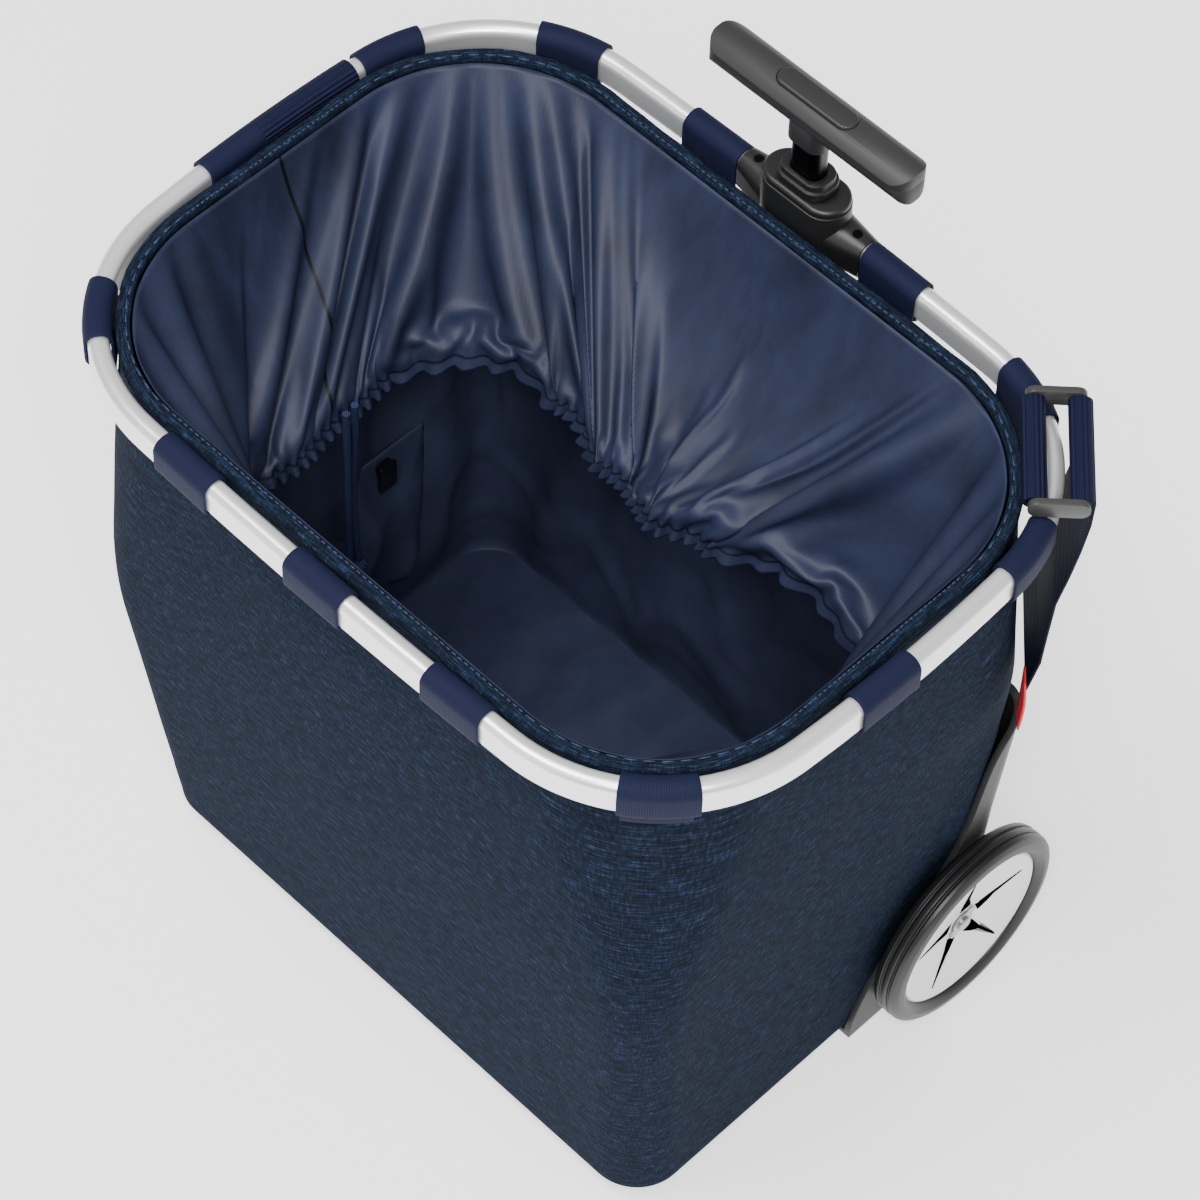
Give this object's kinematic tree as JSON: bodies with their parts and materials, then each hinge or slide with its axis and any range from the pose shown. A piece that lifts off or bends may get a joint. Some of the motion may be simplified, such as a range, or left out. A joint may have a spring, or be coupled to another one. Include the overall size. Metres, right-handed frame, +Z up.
{
  "type": "shopping trolley",
  "caption": "Soft tub with a drawstring collar hung in an oval metal rim, on a two-wheeled moulded carriage with a telescopic T-handle pole.",
  "frame": {"origin": "on the floor under the middle of the object's box", "axes": "+Z up, +Y towards the pole and wheels, +X towards the adjustable strap"},
  "size_m": [0.4234, 0.3242, 0.4668],
  "materials": {
    "rim_aluminium": "satin anodised",
    "hub_plastic": "satin moulded",
    "pole_aluminium": "satin anodised",
    "pole_black": "satin black",
    "steel": "zinc plated",
    "grip_plastic": "soft-touch moulded",
    "button_plastic": "fine grain moulded",
    "carriage_plastic": "fine grain moulded",
    "tyre_rubber": "smooth rubber",
    "disc_plastic": "satin moulded",
    "bush_plastic": "moulded",
    "outer_fabric": "melange woven polyester",
    "liner_fabric": "satin woven polyester",
    "board": "board",
    "webbing": "ribbed woven webbing",
    "buckle_plastic": "satin moulded",
    "tag_fabric": "woven tape",
    "cord_fabric": "woven flat cord",
    "zip_metal": "antique",
    "foot_rubber": "moulded rubber"
  },
  "bodies": {
    "trolley": {"axle_clips": "steel", "axle_washers": "steel", "bag_body": "outer_fabric", "bag_liner": "liner_fabric", "base_board": "board", "carriage": "carriage_plastic", "carriage_screws": "steel", "drawcord_back": "cord_fabric", "drawcord_front": "cord_fabric", "drawcord_knots": "cord_fabric", "front_feet": "foot_rubber", "gathered_collar": "liner_fabric", "hub_bezel": "hub_plastic", "hub_body": "hub_plastic", "hub_collars": "hub_plastic", "hub_screws": "steel", "inner_pocket": "liner_fabric", "left_strap": "webbing", "loop_back_left_inner": "webbing", "loop_back_left_outer": "webbing", "loop_back_right_inner": "webbing", "loop_back_right_outer": "webbing", "loop_corner_left": "webbing", "loop_corner_right": "webbing", "loop_front_left": "webbing", "loop_front_middle": "webbing", "loop_front_right": "webbing", "loop_side_left_back": "webbing", "loop_side_left_front": "webbing", "loop_side_right_back": "webbing", "loop_side_right_front": "webbing", "outer_guide": "hub_plastic", "pole_foot": "hub_plastic", "pole_outer_tube": "pole_aluminium", "rim_hem": "outer_fabric", "rim_tube": "rim_aluminium", "side_tag": "tag_fabric", "slider_buckle": "buckle_plastic", "slider_strap": "webbing", "stub_axles": "steel"},
    "middle_stage": {"pole_middle_tube": "pole_aluminium", "middle_guide": "hub_plastic", "middle_slider": "hub_plastic"},
    "handle_stage": {"pole_inner_tube": "pole_black", "inner_slider": "hub_plastic", "grip_upper": "grip_plastic", "grip_lower": "grip_plastic", "grip_screws": "steel", "button_spring": "steel"},
    "button": {"release_button": "button_plastic"},
    "rod": {"release_rod": "steel"},
    "inner_lock": {"inner_lock_pin": "steel"},
    "middle_lock": {"middle_lock_pin": "steel"},
    "wheel_left": {"tyre_left": "tyre_rubber", "wheel_disc_left": "disc_plastic", "wheel_bush_left": "bush_plastic"},
    "wheel_right": {"tyre_right": "tyre_rubber", "wheel_disc_right": "disc_plastic", "wheel_bush_right": "bush_plastic"},
    "zip": {"zip_slider": "zip_metal"}
  },
  "joints": [
    {"name": "middle_stage_slide", "type": "slide", "parent": "trolley", "child": "middle_stage", "axis": [0, 0, 1], "range_m": [0, 0.265]},
    {"name": "handle_stage_slide", "type": "slide", "parent": "middle_stage", "child": "handle_stage", "axis": [0, 0, 1], "range_m": [0, 0.265]},
    {"name": "button_press", "type": "slide", "parent": "handle_stage", "child": "button", "axis": [0, 0, -1], "range_m": [0, 0.003], "stiffness_N_per_m": 500, "springref_m": -0.002, "deforming": ["button_spring"]},
    {"name": "rod_push", "type": "slide", "parent": "handle_stage", "child": "rod", "axis": [0, 0, -1], "range_m": [0, 0.003]},
    {"name": "inner_lock_draw", "type": "slide", "parent": "handle_stage", "child": "inner_lock", "axis": [0, -1, 0], "range_m": [0, 0.0025]},
    {"name": "middle_lock_draw", "type": "slide", "parent": "middle_stage", "child": "middle_lock", "axis": [0, -1, 0], "range_m": [0, 0.0025]},
    {"name": "wheel_left_spin", "type": "hinge", "parent": "trolley", "child": "wheel_left", "pos_m": [-0.188, 0.0876, 0.0578], "axis": [1, 0, 0], "continuous": true},
    {"name": "wheel_right_spin", "type": "hinge", "parent": "trolley", "child": "wheel_right", "pos_m": [0.188, 0.0876, 0.0578], "axis": [1, 0, 0], "continuous": true},
    {"name": "zip_slide", "type": "slide", "parent": "trolley", "child": "zip", "axis": [0, 1, 0], "range_m": [-0.064, 0.012]}
  ],
  "couplings": [
    {"joint": "rod_push", "follows": "button_press", "ratio": 1},
    {"joint": "inner_lock_draw", "follows": "button_press", "ratio": 0.8333},
    {"joint": "middle_lock_draw", "follows": "button_press", "ratio": 0.8333}
  ]
}
